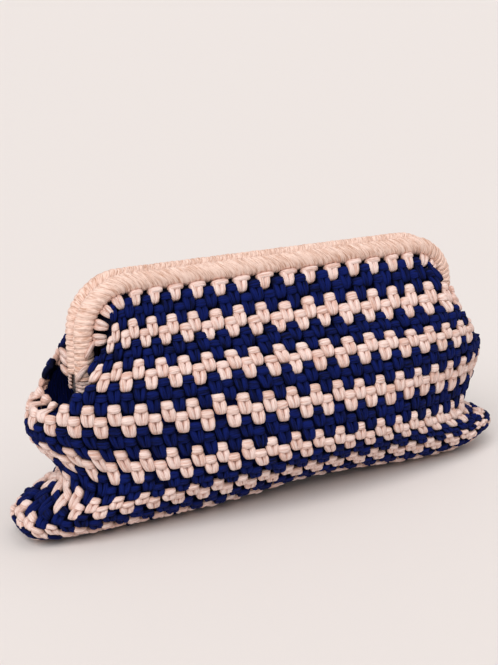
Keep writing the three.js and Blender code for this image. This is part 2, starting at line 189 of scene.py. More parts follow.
# The lap of a panel's right side over its leg: how far, and where along X and up it sets in and ends.
PANEL_LAP = 9.0
LAP_X = (90.0, 131.0)
LAP_RISE = (104.0, 118.0)
LAP_FALL = (130.0, 146.0)
# The wound front half-frame, a U of legs, corners and a bar, from the box of its sleeve in the CAD. Its
# corner's radius and its bore are the CAD's too.
SLEEVE_BOX = np.round(np.array(frame["nodes"]["front_frame_wrap"].bound_box) / MM, 2)
_, LEG_FRONT, LEG_BOTTOM = SLEEVE_BOX.min(axis=0)
SLEEVE_REACH, LEG_BACK, SLEEVE_TOP = SLEEVE_BOX.max(axis=0)
WOUND_RADIUS = (LEG_BACK - LEG_FRONT) / 2
HALF_OFFSET = -(LEG_BACK + LEG_FRONT) / 2
LEG_X = SLEEVE_REACH - WOUND_RADIUS
BAR_HEIGHT = SLEEVE_TOP - WOUND_RADIUS
CORNER_RADIUS = 30.0
BORE_RADIUS = 4.3
# Levels of stitches, counted from the bottom seam, and how far up the front's middle they lie.
LEVELS = (-7.0, 2.0, 6.0, 10.0, 14.0, 18.0, 22.0, 25.0, 26.1)
LEVEL_ARCS = (-43.0, 22.7, 51.6, 79.8, 109.6, 139.8, 166.6, 190.0, 198.4)
# How far up it a panel's top edge lies.
TOP_ARC = 192.2
# Columns drift to the left in the upper rows, as stitches worked in the round do.
DRIFT_LEVELS = (10.0, 14.0, 18.0, 22.0, 26.0)
DRIFTS = (0.05, 0.12, -0.2, -0.7, -1.0)
# Stitches lean left in the low rows and right in the high ones, in columns for each level.
LEAN_LEVELS = (11.0, 16.0, 22.0)
LEANS = (-0.2, -0.05, 0.1)
# The climb of the low rows into the left and the right ear, and where along a row and up the middle it is.
EAR_CLIMBS = (23.0, 28.0)
EAR_SHARES = (0.72, 1.0)
EAR_ARCS = (20.0, 110.0)
# Shares of the height at the bottom and the top in which rows lose their tilt.
LEVEL_BOTTOM, LEVEL_TOP = 0.25, 0.2
BOTTOM_LEVEL, TOP_LEVEL = -6, 26
# The snagged stitch, how many levels it stands up, and how many the one beside it is pulled.
SNAG_LEVEL, SNAG_COLUMN = 15.0, -7.5
SNAG_LIFT, SNAG_PULL = 0.35, 0.4
SIDES = ("front", "back")


def smooth(x, low, high):
    """0 under low, 1 over high, and 3t^2 - 2t^3 between."""
    t = np.clip((x - low) / (high - low), 0, 1)
    return t * t * (3 - 2 * t)


def row_values(rows, place):
    """A cubic through the rows' values, with each row's slope half the step between its two neighbours.
    Place is 0 at the first row; from -1 to 0 the row closes to a line under the bag."""
    last = len(rows) - 1
    start = np.clip(np.floor(place).astype(int), 0, last - 1)
    f = (np.clip(place, 0, last) - start)[..., None]
    before, a, b, after = (rows[np.clip(start + step, 0, last)] for step in (-1, 0, 1, 2))
    slope_a, slope_b = (b - before) / 2, (after - a) / 2
    values = ((2 * a - 2 * b + slope_a + slope_b) * f + 3 * (b - a) - 2 * slope_a - slope_b) * f
    values = (values + slope_a) * f + a
    values[..., 0] *= np.clip(1 + place, 0, 1)
    return values


def row_points(rows, place, across):
    """A point of a row is (reach * u, -depth * (1 - |u|^n)^(1/n), height) for u from -1 to 1 and
    roundness n; the height runs to the fold's with |u|^m, and above the hip the two halves part."""
    depth, height, reach, fold, roundness, late = np.moveaxis(row_values(rows, place), -1, 0)
    u = np.abs(across)
    spread = TOP_SPREAD * np.clip((place - HIP_ROW) / (TOP_ROW - HIP_ROW), 0, 1)
    y = -(spread + (depth - spread) * np.clip(1 - u ** roundness, 0, 1) ** (1 / roundness))
    z = height + (fold - height) * u ** late
    return np.stack([reach * across, y, z], -1)


def panel_lap(x, z):
    """How far a panel's right side is drawn out over its leg: a smooth step along X times a hump up Z."""
    return PANEL_LAP * smooth(x, *LAP_X) * smooth(z, *LAP_RISE) * (1 - smooth(z, *LAP_FALL))


class Fabric:
    """Half of a pouch surface, sampled evenly along its rows and up its middle, with its normals."""

    def __init__(self, rows, lap=0.0, steps=192, turns=160, probes=400):
        places = np.linspace(-1, len(rows) - 1, probes)
        middle = row_points(rows, places, np.zeros_like(places))
        arc = np.concatenate([[0], np.cumsum(np.linalg.norm(np.diff(middle, axis=0), axis=1))])
        self.length = arc[-1]
        self.arcs = np.linspace(0, self.length, steps + 1)
        place = np.interp(self.arcs, arc, places)
        fine = np.sin(np.linspace(-np.pi / 2, np.pi / 2, 6 * turns + 1))
        dense = row_points(rows, np.broadcast_to(place[:, None], (steps + 1, len(fine))), fine)
        along = np.cumsum(np.linalg.norm(np.diff(dense, axis=1), axis=2), axis=1)
        along = np.concatenate([np.zeros((steps + 1, 1)), along], axis=1)
        self.half_rows = along[:, -1] / 2
        share = np.linspace(0, 1, turns + 1)
        across = np.stack([np.interp(share * run[-1], run, fine) for run in along])
        self.points = row_points(rows, np.broadcast_to(place[:, None], across.shape), across)
        self.points[..., 0] += lap * panel_lap(self.points[..., 0], self.points[..., 2])
        right = np.gradient(self.points, axis=1)
        up = np.gradient(self.points, axis=0)
        normals = np.cross(right, up)
        self.normals = normals / np.maximum(np.linalg.norm(normals, axis=2, keepdims=True), 1e-9)

    def half_row(self, arc):
        """Half the length of the row at a height along the middle."""
        return np.interp(arc, self.arcs, self.half_rows)

    def at(self, arc, share):
        """Point and normal at a height along the middle and a share of the row from -1 to 1, by linear
        weights between the four nearest samples."""
        rows, turns = self.points.shape[0] - 1, self.points.shape[1] - 1
        i = np.clip(arc / self.length, 0, 1) * rows
        j = (np.clip(share, -1, 1) + 1) / 2 * turns
        i0 = np.minimum(i.astype(int), rows - 1)
        j0 = np.minimum(j.astype(int), turns - 1)
        fi, fj = (i - i0)[..., None], (j - j0)[..., None]
        found = []
        for table in (self.points, self.normals):
            low = table[i0, j0] * (1 - fj) + table[i0, j0 + 1] * fj
            high = table[i0 + 1, j0] * (1 - fj) + table[i0 + 1, j0 + 1] * fj
            found.append(low * (1 - fi) + high * fi)
        return found

    def grid(self, low, high, rows, columns):
        """Heights, shares, points and normals on an even grid between two heights along the middle."""
        arc, share = np.meshgrid(np.linspace(low, high, rows), np.linspace(-1, 1, columns), indexing="ij")
        return arc, share, *self.at(arc, share)


def settled(points):
    """The bag as it stands: between the ears the bottom is lifted off the table by a hump along X, and the
    right ear's tip is curled up, both less with height; the neck over the right ear is full. Nothing goes
    below the table."""
    x, y, z = np.moveaxis(points, -1, 0)
    rise = ARCH_RISE * (1 - smooth(np.abs(x - ARCH_CENTRE), 0, ARCH_REACH))
    rise = rise + EAR_CURL * smooth(x, *EAR_CURL_X)
    full = NECK_FULL * smooth(x, *NECK_X) * smooth(z, *NECK_RISE) * (1 - smooth(z, *NECK_FALL))
    return np.stack([x + full, y, np.maximum(0, z + rise * (1 - smooth(z, 0, ARCH_HEIGHT)))], -1)


def on_side(side, points):
    """Points of the front half as they are, or after half a turn about Z for the back half."""
    return points if side == "front" else points * np.array([-1, -1, 1])


# A panel's side edge, from the slit's end at the fold up past the leg and round the inside of the corner.
EDGE_HEIGHTS = (84.5, 88.5, 98.0, 105.0, 112.0, 120.0, 127.0, 133.0, 140.0, 145.0, 149.0, 152.0)
EDGE_REACHES = (400.0, 157.0, 150.0, 145.0, 140.0, 134.0, 128.5, 125.0, 121.5, 117.0, 111.0, 104.0)
# Below this height the fabric runs on round the fold.
SLIT_END = EDGE_HEIGHTS[1]
# How far the fabric is drawn in beside a leg's end, and over what distances past the panel's edge.
PUCKER = 7.0
PUCKER_RANGE = (-3.0, 13.0)


def in_panel(x, z, inset=0.0):
    """Whether a point lies inside the side edges of its panel, seen from the front."""
    return np.abs(x) < np.interp(z, EDGE_HEIGHTS, EDGE_REACHES) + panel_lap(x, z) - inset


def pucker(point):
    """How far the fabric is drawn in between the two panels' side edges, where the leg's end sits: a
    smooth step of the distance past the edge."""
    x, z = point[..., 0], point[..., 2]
    past = np.abs(x) - np.interp(z, EDGE_HEIGHTS, EDGE_REACHES) - panel_lap(x, z)
    return PUCKER * smooth(past, *PUCKER_RANGE)


# Meshes

def grid_quads(rows, columns, wrap):
    """Corner numbers of the faces of a grid, and each corner's own row and column, not wrapped."""
    i, j = np.meshgrid(np.arange(rows - 1), np.arange(columns if wrap else columns - 1), indexing="ij")
    i, j = i.ravel(), j.ravel()
    corner_i = np.stack([i, i, i + 1, i + 1], 1)
    corner_j = np.stack([j, j + 1, j + 1, j], 1)
    return corner_i * columns + corner_j % columns, corner_i, corner_j


def mesh_object(name, points, quads, uv, material, tone=None):
    """A smooth mesh from points in millimetres, faces of four corners, and a UV pair for each corner."""
    mesh = bpy.data.meshes.new(name)
    mesh.vertices.add(points.size // 3)
    mesh.vertices.foreach_set("co", (points * MM).astype(np.float32).ravel())
    mesh.loops.add(quads.size)
    mesh.loops.foreach_set("vertex_index", quads.astype(np.int32).ravel())
    mesh.polygons.add(len(quads))
    mesh.polygons.foreach_set("loop_start", np.arange(0, quads.size, 4, dtype=np.int32))
    mesh.polygons.foreach_set("use_smooth", np.ones(len(quads), bool))
    mesh.uv_layers.new(name="lay").data.foreach_set("uv", uv.astype(np.float32).ravel())
    if tone is not None:
        tones_and_shade = mesh.attributes.new("tone", "FLOAT", "POINT")
        tones_and_shade.data.foreach_set("value", tone.astype(np.float32).ravel())
    mesh.update(calc_edges=True)
    mesh.validate()
    mesh.materials.append(material)
    piece = bpy.data.objects.new(name, mesh)
    bpy.context.scene.collection.objects.link(piece)
    return piece


# A tube of yarn: stations along it, points round it and their angles, and its girth and shift in the UV.
STATIONS = 6
RING = 8
RING_TURN = -np.pi / 2 + 2 * np.pi * np.arange(RING) / RING
YARN_GIRTH = 12.0
UV_SHIFT = 200.0
# Painted shade: the tone lost from a tube's crown to its creases, which darkens its sides and ends, the
# sines of the turn between which the crown sets in, and how much of it each station has.
CREASE_PAINTED_SHADE = 2.0
CROWN_TURN = (-0.3, 0.7)
CROWN_ALONG = np.array([0.1, 0.7, 1.0, 1.0, 0.7, 0.1])


def tube_quads():
    """Faces of one closed tube of RING sides: its wall, and each end covered by a strip of faces.
    UV is the share round the tube and the share along it."""
    wall, i, j = grid_quads(STATIONS, RING, True)
    uv = np.stack([j / RING, i / (STATIONS - 1)], 2)
    k = np.arange(RING // 2 - 1)
    strip = np.stack([k, RING - 1 - k, RING - 2 - k, k + 1], 1)
    last = (STATIONS - 1) * RING
    cap_uv = np.zeros((len(strip), 4, 2))
    quads = np.concatenate([wall, strip, last + strip[:, ::-1]])
    return quads, np.concatenate([uv, cap_uv, cap_uv + [0, 1]])


def tubes(place, centre, side, depth, groove):
    """Closed tubes along lines of a stitch. The centre line is (across, up, out) in columns, levels and
    millimetres, side is the half-width vector (across, up) and depth the half-depth. A point of a ring is
    centre + side * cos(t) + depth * sin(t), with a fold pressed in by the share groove in front."""
    front = np.where(np.arange(RING) == RING // 2, 1 - groove[..., None], 1.0)
    across = centre[..., 0, None] + side[..., 0, None] * np.cos(RING_TURN)
    up = centre[..., 1, None] + side[..., 1, None] * np.cos(RING_TURN)
    out = centre[..., 2, None] + depth[..., None] * np.sin(RING_TURN) * front
    return place(across, up, out)


def fold_depths(rng, count):
    """Shares by which the folds in the fronts of tubes are pressed in, drawn for each tube and station."""
    return np.clip(rng.normal(0.16, 0.08, (count, STATIONS)), 0, 0.4)


def strand_line(up, full, width, depth):
    """The centre line of a plain strand along up, with its half-width and half-depth times full."""
    zero = np.zeros(STATIONS)
    return np.stack([zero, up, zero], 1), np.stack([width * full, zero], 1), depth * full


def repeated(line, count):
    """A centre line, its half-widths and its half-depths, the same for each of count tubes."""
    return [np.broadcast_to(values, (count, *values.shape)) for values in line]


def tube_piece(name, groups, lengths, material, seed):
    """One mesh of many tubes. Each group is an array (tubes, STATIONS, RING, 3); UV is in millimetres, the
    way round and the way along, and starts at a different place on each tube. The tone is a random number
    for each tube, lowered towards its ends and its sides as painted shade in the creases where the yarn
    lies."""
    rng = np.random.default_rng(seed)
    points, quads, uvs, tones_and_shade, start = [], [], [], [], 0
    unshaded = smooth(np.sin(RING_TURN), *CROWN_TURN) * CROWN_ALONG[:, None]
    one, uv = tube_quads()
    size = STATIONS * RING
    for group, length in zip(groups, lengths):
        count = len(group)
        points.append(group.reshape(-1, 3))
        quads.append((one[None] + (start + np.arange(count) * size)[:, None, None]).reshape(-1, 4))
        shift = rng.uniform(0, UV_SHIFT, (count, 1, 1, 2))
        uvs.append((uv[None] * [YARN_GIRTH, length] + shift).reshape(-1, 2))
        # Painted shade: a tube's random tone, lowered at its creased sides and ends.
        tones_and_shade.append(rng.random((count, 1, 1)) - CREASE_PAINTED_SHADE * (1 - unshaded))
        start += count * size
    return mesh_object(name, np.concatenate(points), np.concatenate(quads), np.concatenate(uvs), material,
                       np.concatenate(tones_and_shade))


# Materials

def feed(tree, made, inputs):
    """Gives a node's inputs a value or a link each, by name or number."""
    for key, value in inputs.items():
        if isinstance(value, bpy.types.NodeSocket):
            tree.links.new(value, made.inputs[key])
        else:
            made.inputs[key].default_value = value


def node(tree, kind, inputs=None, **settings):
    """Adds a shader node, sets its properties and feeds its inputs."""
    made = tree.nodes.new("ShaderNode" + kind)
    for key, value in settings.items():
        setattr(made, key, value)
    feed(tree, made, inputs or {})
    return made


def new_material(name):
    """A material with a Principled shader, its tree and that shader."""
    material = bpy.data.materials.new(name)
    material.use_nodes = True
    tree = material.node_tree
    tree.nodes.clear()
    shader = node(tree, "BsdfPrincipled")
    node(tree, "OutputMaterial", {"Surface": shader.outputs["BSDF"]})
    return material, tree, shader


# Spacing of the folds in crocheted and wound yarn, a fold's length in widths and its depth in metres, how
# much a tube's tone, random and with painted crease shade, counts beside the folds, and the sheen of the
# pale nap.
CROCHET_FOLD, WINDING_FOLD = 0.85, 0.8
FOLD_LENGTH, FOLD_DEPTH = 9, 0.0011
TONE_SHARE = 0.12
PALE_SHEEN = 0.08
# The width of a lining thread, and the metal's grains to the metre.
LINING_THREAD = 0.9
METAL_GRAIN = 900.0


def jersey_yarn(name, colour, shadow, fold_width, sheen):
    """Cotton jersey yarn, cut in a strip and rolled: matt, with a short nap and lengthwise folds about
    fold_width millimetres apart. The folds' troughs take the shadow colour, painted shade that draws fine
    dark lines along the yarn. Each stitch is a little lighter or darker than the next, and a stitch's tone
    also carries painted shade at its creases."""
    material, tree, shader = new_material(name)
    uv = node(tree, "UVMap", uv_map="lay")
    scale = (1 / fold_width, 1 / (FOLD_LENGTH * fold_width), 1)
    stretch = node(tree, "Mapping", {"Vector": uv.outputs["UV"], "Scale": scale})
    folds = node(tree, "TexNoise", {
        "Vector": stretch.outputs["Vector"], "Scale": 1.0, "Detail": 3.0, "Roughness": 0.6,
        "Distortion": 0.2})
    tone = node(tree, "Attribute", attribute_name="tone")
    mixed = node(tree, "Math", {0: tone.outputs["Fac"], 1: TONE_SHARE, 2: folds.outputs["Fac"]},
                 operation="MULTIPLY_ADD")
    # Painted shade: the ramp runs from the shadow colour, in the folds' troughs and the creases, to the
    # yarn's colour.
    ramp = node(tree, "ValToRGB", {"Fac": mixed.outputs["Value"]})
    for element, position, tint in zip(ramp.color_ramp.elements, (0.38, 0.62), (shadow, colour)):
        element.position, element.color = position, tint
    bump = node(tree, "Bump", {"Height": folds.outputs["Fac"], "Strength": 1.0, "Distance": FOLD_DEPTH})
    feed(tree, shader, {
        "Base Color": ramp.outputs["Color"], "Normal": bump.outputs["Normal"], "Roughness": 0.82,
        "IOR": 1.5, "Specular IOR Level": 0.1, "Sheen Weight": sheen, "Sheen Roughness": 0.4})
    return material


def plain_cotton(name, colour, thread):
    """Woven cotton cloth: matt and a little cloudy, with a plain weave of threads. The weave is drawn
    about three times as coarse as real so that it shows."""
    material, tree, shader = new_material(name)
    uv = node(tree, "UVMap", uv_map="lay")
    scaled = node(tree, "VectorMath", {0: uv.outputs["UV"], "Scale": math.pi / thread}, operation="SCALE")
    parts = node(tree, "SeparateXYZ", {"Vector": scaled.outputs["Vector"]})
    warp, weft = (node(tree, "Math", {0: parts.outputs[axis]}, operation="SINE") for axis in "XY")
    weave = node(tree, "Math", {0: warp.outputs["Value"], 1: weft.outputs["Value"]}, operation="MULTIPLY")
    cloudy = node(tree, "TexNoise", {"Vector": uv.outputs["UV"], "Scale": 0.08, "Detail": 3.0})
    ramp = node(tree, "ValToRGB", {"Fac": cloudy.outputs["Fac"]})
    for element, share in zip(ramp.color_ramp.elements, (0.75, 1.2)):
        element.color = (*(c * share for c in colour[:3]), 1.0)
    bump = node(tree, "Bump", {"Height": weave.outputs["Value"], "Strength": 0.3, "Distance": 0.0002})
    feed(tree, shader, {
        "Base Color": ramp.outputs["Color"], "Normal": bump.outputs["Normal"], "Roughness": 0.88,
        "Specular IOR Level": 0.2})
    return material


def drawn_metal(name, colour, roughness):
    """Drawn or stamped metal: satin, with an even grain, so highlights are soft and a little broken. The
    grain is drawn about a millimetre wide, much coarser than real, so that it shows."""
    material, tree, shader = new_material(name)
    place = node(tree, "TexCoord")
    grain = node(tree, "TexNoise", {
        "Vector": place.outputs["Object"], "Scale": METAL_GRAIN, "Detail": 2.0})
    rough = node(tree, "MapRange", {
        "Value": grain.outputs["Fac"], "To Min": roughness - 0.08, "To Max": roughness + 0.1})
    bump = node(tree, "Bump", {"Height": grain.outputs["Fac"], "Strength": 0.15, "Distance": 0.0001})
    feed(tree, shader, {
        "Base Color": colour, "Metallic": 1.0, "Roughness": rough.outputs["Result"],
        "Normal": bump.outputs["Normal"]})
    return material


def yarns():
    """The two yarns of the pouch, made once and shared by every piece that is crocheted."""
    pouch = bpy.context.scene.clutch_pouch
    for name, colour, shadow, sheen in (("navy_jersey_yarn", pouch.navy, pouch.navy_fold_shade, 0.0),
                                        ("pale_jersey_yarn", pouch.pale, pouch.pale_fold_shade, PALE_SHEEN)):
        if name not in bpy.data.materials:
            jersey_yarn(name, tuple(colour), tuple(shadow), CROCHET_FOLD, sheen)
    return bpy.data.materials["navy_jersey_yarn"], bpy.data.materials["pale_jersey_yarn"]


# Stitches

# Half-sizes in columns and levels: a bar's length and width, the width of a leg and of the yarn behind.
BAR_LENGTH, BAR_WIDTH = 0.54, 0.4
STITCH_LEG_WIDTH, HEART_WIDTH = 0.29, 0.22
# Levels from a stitch's bar down to its middle and to the middle of its legs.
STITCH_MIDDLE, STITCH_LEG_MIDDLE = -0.45, -0.9
# Lengths of a bar, of two legs and the yarn behind them, and of a longer strand, for the UV.
STITCH_LENGTHS = (8.0, 10.0, 10.0, 10.0, 14.0)
# Bars of the top row: how much longer, how far aside and down, and how much flatter.
PRESSED_LONG, PRESSED_ASIDE, PRESSED_DOWN, PRESSED_FLAT = 1.4, 0.2, 0.36, 0.65
# How far stitches stop short of a panel's side edge, and where up the leg this sets in and ends.
EDGE_INSET = 4.0
INSET_RISE = (99.0, 107.0)
INSET_FALL = (135.0, 145.0)
# From this height up a stitch keeps this far before a leg, or else this far to the inner side of it.
LEG_CLEAR_FROM = 104.0
LEG_CLEAR_FRONT = 4.0
LEG_CLEAR_SIDE = 10.0
# Tubes that lie this close to the bottom seam are left out.
SEAM_GAP = 3.0
# The fold's depth in a strand that has no random one.
EVEN_FOLD = 0.15
# Row ends: heights, start beside the leg's middle, run to the panel, half-width and half-depth.
ROW_END_HEIGHTS = np.array([98.5, 105.0, 109.5])
ROW_END_START = (3.5, -4.5)
ROW_END_RUN = (1.5, -11.5, 3.0)
ROW_END_WIDTH, ROW_END_DEPTH = 2.6, 2.0
# The yarn behind the stitches, all navy, which behind pale rows is painted shade in the gaps: its grid,
# the size of a cell for the UV, where it starts up the middle, its depth, how much deeper its top edge is
# tucked and over what run, and its inset from the side edges.
CORE_GRID = (90, 131)
CORE_CELL = (3.0, 2.0)
CORE_START = 2.0
CORE_DEPTH = 5.6
CORE_TUCK, CORE_TUCK_RUN = 1.5, 9.0
CORE_INSET = 5.0


def stitch_map(fabric, pouch, tilt, column, level, lean):
    """Gives the function that puts a stitch's (across, up, out) on the fabric: the level says how far up
    the middle, the column how far along the row. Columns are even in the middle and stretch towards the
    fold with the cube of their number; rows drop towards one side by tilt, less at the bottom and the top,
    and low rows climb into the ears by a smooth step along the row that dies out with height."""
    half = pouch.columns / 2
    pitch = pouch.column_width / MM

    def place(across, up, out):
        at_level = level + up
        at_column = column + across + lean * up
        share = at_column / half
        at_column = at_column + np.interp(at_level, DRIFT_LEVELS, DRIFTS) * np.clip(1 - share ** 2, 0, 1)
        arc = np.interp(at_level, LEVELS, LEVEL_ARCS)
        t = np.minimum(arc / TOP_ARC, 1)
        climb = np.interp(share * np.sign(tilt), (-1, 1), EAR_CLIMBS) * smooth(np.abs(share), *EAR_SHARES)
        arc = arc + climb * (1 - smooth(arc, *EAR_ARCS))
        drop = tilt * pitch * at_column * np.clip(t / LEVEL_BOTTOM, 0, 1)
        arc = arc - drop * np.clip((1 - t) / LEVEL_TOP, 0, 1)
        reach = fabric.half_row(arc)
        along = pitch * at_column + (reach - half * pitch) * (at_column / half) ** 3
        point, normal = fabric.at(arc, along / reach)
        return point + (out - pucker(point))[..., None] * normal

    return place


def stitch_lines(depth):
    """Centre lines of a stitch: a short bar across, two legs that run down from it and draw together, and
    the yarn that lies behind them, its heart. Each is (across, up, out), the half-width vector and the
    half-depth at each station. The bar's ends dip back with the fourth power of the way along it."""
    t = np.array([-1.0, -0.86, -0.4, 0.4, 0.86, 1.0])
    zero = np.zeros(STATIONS)
    full = np.array([0.4, 0.8, 1.0, 1.0, 0.8, 0.4])
    bar = (np.stack([BAR_LENGTH * t, 0.05 + 0.03 * t, -0.9 * depth - 1.4 * t ** 4], 1),
           np.stack([zero, BAR_WIDTH * full], 1), 1.15 * depth * full)
    down = np.array([-0.16, -0.3, -0.62, -1.02, -1.36, -1.47])
    full = np.array([0.4, 0.82, 1.0, 1.0, 0.85, 0.4])
    out = np.array([-1.5, -1.1, -1.0, -1.0, -1.3, -1.7]) * depth
    apart = np.array([0.27, 0.28, 0.27, 0.235, 0.18, 0.15])
    legs = [(np.stack([sign * apart, down, out], 1),
             np.stack([STITCH_LEG_WIDTH * full, sign * 0.05 * full], 1), 1.05 * depth * full)
            for sign in (-1, 1)]
    heart = (np.stack([zero, down, 1.2 * out - 0.4 * depth], 1), np.stack([HEART_WIDTH * full, zero], 1),
             0.8 * depth * full)
    return bar, legs, heart


def lay_stitches(fabric, pouch, tilt, seed, snagged):
    """All stitches of half a pouch, as tubes sorted by yarn. Moss stitch: row k has stitches in every
    other column, one further than the row below; each has its bar at level k and its legs at level k - 1.
    Two rows of a colour follow each other. Stitches stop at the panels' side edges and where a leg of the
    frame passes. If snagged, one stitch stands up and the one beside it is pulled up after it."""
    rng = np.random.default_rng(seed)
    half = pouch.columns // 2
    level, column = np.meshgrid(np.arange(BOTTOM_LEVEL, TOP_LEVEL + 1), np.arange(pouch.columns),
                                indexing="ij")
    chosen = (level + column) % 2 == 0
    level, column = level[chosen].astype(float), column[chosen] - half + 0.5
    pale = (level // 2) % 2 == 1
    count = len(level)
    uneven = pouch.unevenness
    shift = rng.normal(0, 1, (count, 3)) * [0.6 * uneven, 0.8 * uneven, 0.25]
    lean = (np.interp(level, LEAN_LEVELS, LEANS) + rng.normal(0, uneven / 2, count))[:, None, None]
    size = 1 + rng.normal(0, uneven / 2, (count, 1))
    if snagged:
        shift[(level == SNAG_LEVEL) & (column == SNAG_COLUMN), 1] += SNAG_LIFT
        shift[(level == SNAG_LEVEL + 1) & (column == SNAG_COLUMN + 1), 1] += SNAG_PULL
    column_at, level_at = (column + shift[:, 0])[:, None, None], (level + shift[:, 1])[:, None, None]
    place = stitch_map(fabric, pouch, tilt, column_at, level_at, lean)
    bar, legs, heart = stitch_lines(pouch.yarn_depth / MM)
    groups = {True: [], False: []}
    zero = np.zeros((count, 1, 1))
    x, y, z = place(zero, zero + STITCH_MIDDLE, zero)[:, 0, 0].T
    inset = EDGE_INSET * smooth(z, *INSET_RISE) * (1 - smooth(z, *INSET_FALL))
    inside = in_panel(x, z, inset) | (z < SLIT_END)
    inside &= ((z < LEG_CLEAR_FROM) | (y < LEG_FRONT - LEG_CLEAR_FRONT)
               | (np.abs(x) < LEG_X - LEG_CLEAR_SIDE))
    top = level == TOP_LEVEL
    for line in (bar, *legs, heart):
        middle = 0.0 if line is bar else STITCH_LEG_MIDDLE
        x, y, z = place(zero, zero + middle, zero)[:, 0, 0].T
        clear = inside & ((z > SEAM_GAP) | (np.abs(y) > SEAM_GAP))
        centre, side, depth = repeated(line, count)
        centre = centre + np.array([0, 0, 1]) * shift[:, None, 2:]
        side = side * size[..., None]
        if line is bar:
            # The bars of the top row are pressed down flat and wide by the frame's bar.
            centre[top, :, 0] = PRESSED_LONG * centre[top, :, 0] + PRESSED_ASIDE
            centre[top, :, 1] -= PRESSED_DOWN
            side[top] *= PRESSED_FLAT
        made = tubes(place, centre, side, depth * size, fold_depths(rng, count))
        for colour in (True, False):
            groups[colour].append(made[(pale == colour) & clear])
    return groups


def row_ends():
    """Ends of pale rows, in the gap between the right leg and the panel that laps it: short fat tubes that
    run straight from the leg's side to the inside of the panel."""
    (start_x, start_y), (run_x, run_y, run_z) = ROW_END_START, ROW_END_RUN

    def place(across, up, out):
        x = LEG_X + start_x + run_x * up + out
        y = start_y - HALF_OFFSET + run_y * up
        z = ROW_END_HEIGHTS[:, None, None] + run_z * up + across
        return np.stack([x, y, z], -1)

    up = np.linspace(1, 0, STATIONS)
    full = np.array([0.4, 0.85, 1.0, 1.0, 0.85, 0.4])
    line = strand_line(up, full, ROW_END_WIDTH, ROW_END_DEPTH)
    count = len(ROW_END_HEIGHTS)
    return tubes(place, *repeated(line, count), np.full((count, STATIONS), EVEN_FOLD))


class CLUTCH_OT_pouch(bpy.types.Operator):
    """Lays the crocheted front and back of the pouch, stitch by stitch"""
    bl_idname = "clutch.pouch"
    bl_label = "Crochet the pouch"

    def execute(self, context):
        pouch = context.scene.clutch_pouch
        navy, pale = yarns()
        fabric = Fabric(OUTER_ROWS, lap=1.0)
        for side, tilt, seed in (("front", pouch.row_tilt, 11), ("back", -pouch.row_tilt, 23)):
            groups = lay_stitches(fabric, pouch, tilt, seed, side == "front")
            groups[True].append(row_ends())
            for colour, material in (("navy", navy), ("pale", pale)):
                made = [settled(on_side(side, group)) for group in groups[colour == "pale"]]
                piece = tube_piece(f"{side}_{colour}_stitches", made, STITCH_LENGTHS, material, seed)
                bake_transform(piece)
                if colour == "navy":
                    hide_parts(f"{side}_wall")
                    if side == "front":
                        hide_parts("pouch_base")
            self.core(fabric, side, navy)
        return {"FINISHED"}

    def core(self, fabric, side, material):
        """The yarn behind the stitches: the fabric's surface, drawn in by most of its thickness. It is all
        navy, so behind pale rows it is painted shade that darkens the gaps between stitches.
        """
        arc, _, point, normal = fabric.grid(CORE_START, TOP_ARC, *CORE_GRID)
        depth = CORE_DEPTH + CORE_TUCK * smooth(arc, TOP_ARC - CORE_TUCK_RUN, TOP_ARC) + pucker(point)
        kept = in_panel(point[..., 0], point[..., 2], CORE_INSET) | (point[..., 2] < SLIT_END)
        points = settled(on_side(side, point - depth[..., None] * normal))
        quads, i, j = grid_quads(*arc.shape, False)
        whole = kept.ravel()[quads].all(1)
        uv = (np.stack([j, i], 2) * CORE_CELL)[whole]
        piece = mesh_object(f"{side}_inner_yarn_and_gap_shade", points, quads[whole], uv, material, np.zeros(arc.size))
        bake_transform(piece)


# Lining

# Rows of the lining from its seam up, with the same six values as the pouch's.
LINING_ROWS = np.array([
    (13.0, 9.1, 137.4, 9.1, 2.8, 2.8),
    (28.4, 17.5, 141.4, 15.5, 2.8, 2.8),
    (37.4, 28.4, 142.4, 26.4, 2.8, 2.8),
    (47.4, 46.4, 142.9, 38.2, 2.1, 2.1),
    (44.9, 74.6, 146.0, 70.5, 2.1, 2.1),
    (36.4, 102.4, 126.0, 101.0, 3.4, 3.4),
    (22.4, 123.6, 121.0, 117.0, 5.5, 12.0),
    (7.0, 152.4, 123.0, 138.0, 8.0, 24.0),
])
LINING_GRID = (110, 161)
# The ripples' size and their mean in such sizes, where above the seam the cloth comes loose, and how far
# from the top edge it is held again.
RIPPLE, RIPPLE_MEAN = 0.5, 1.5
LOOSE_FROM = (12.0, 40.0)
HELD_RUN = 25.0


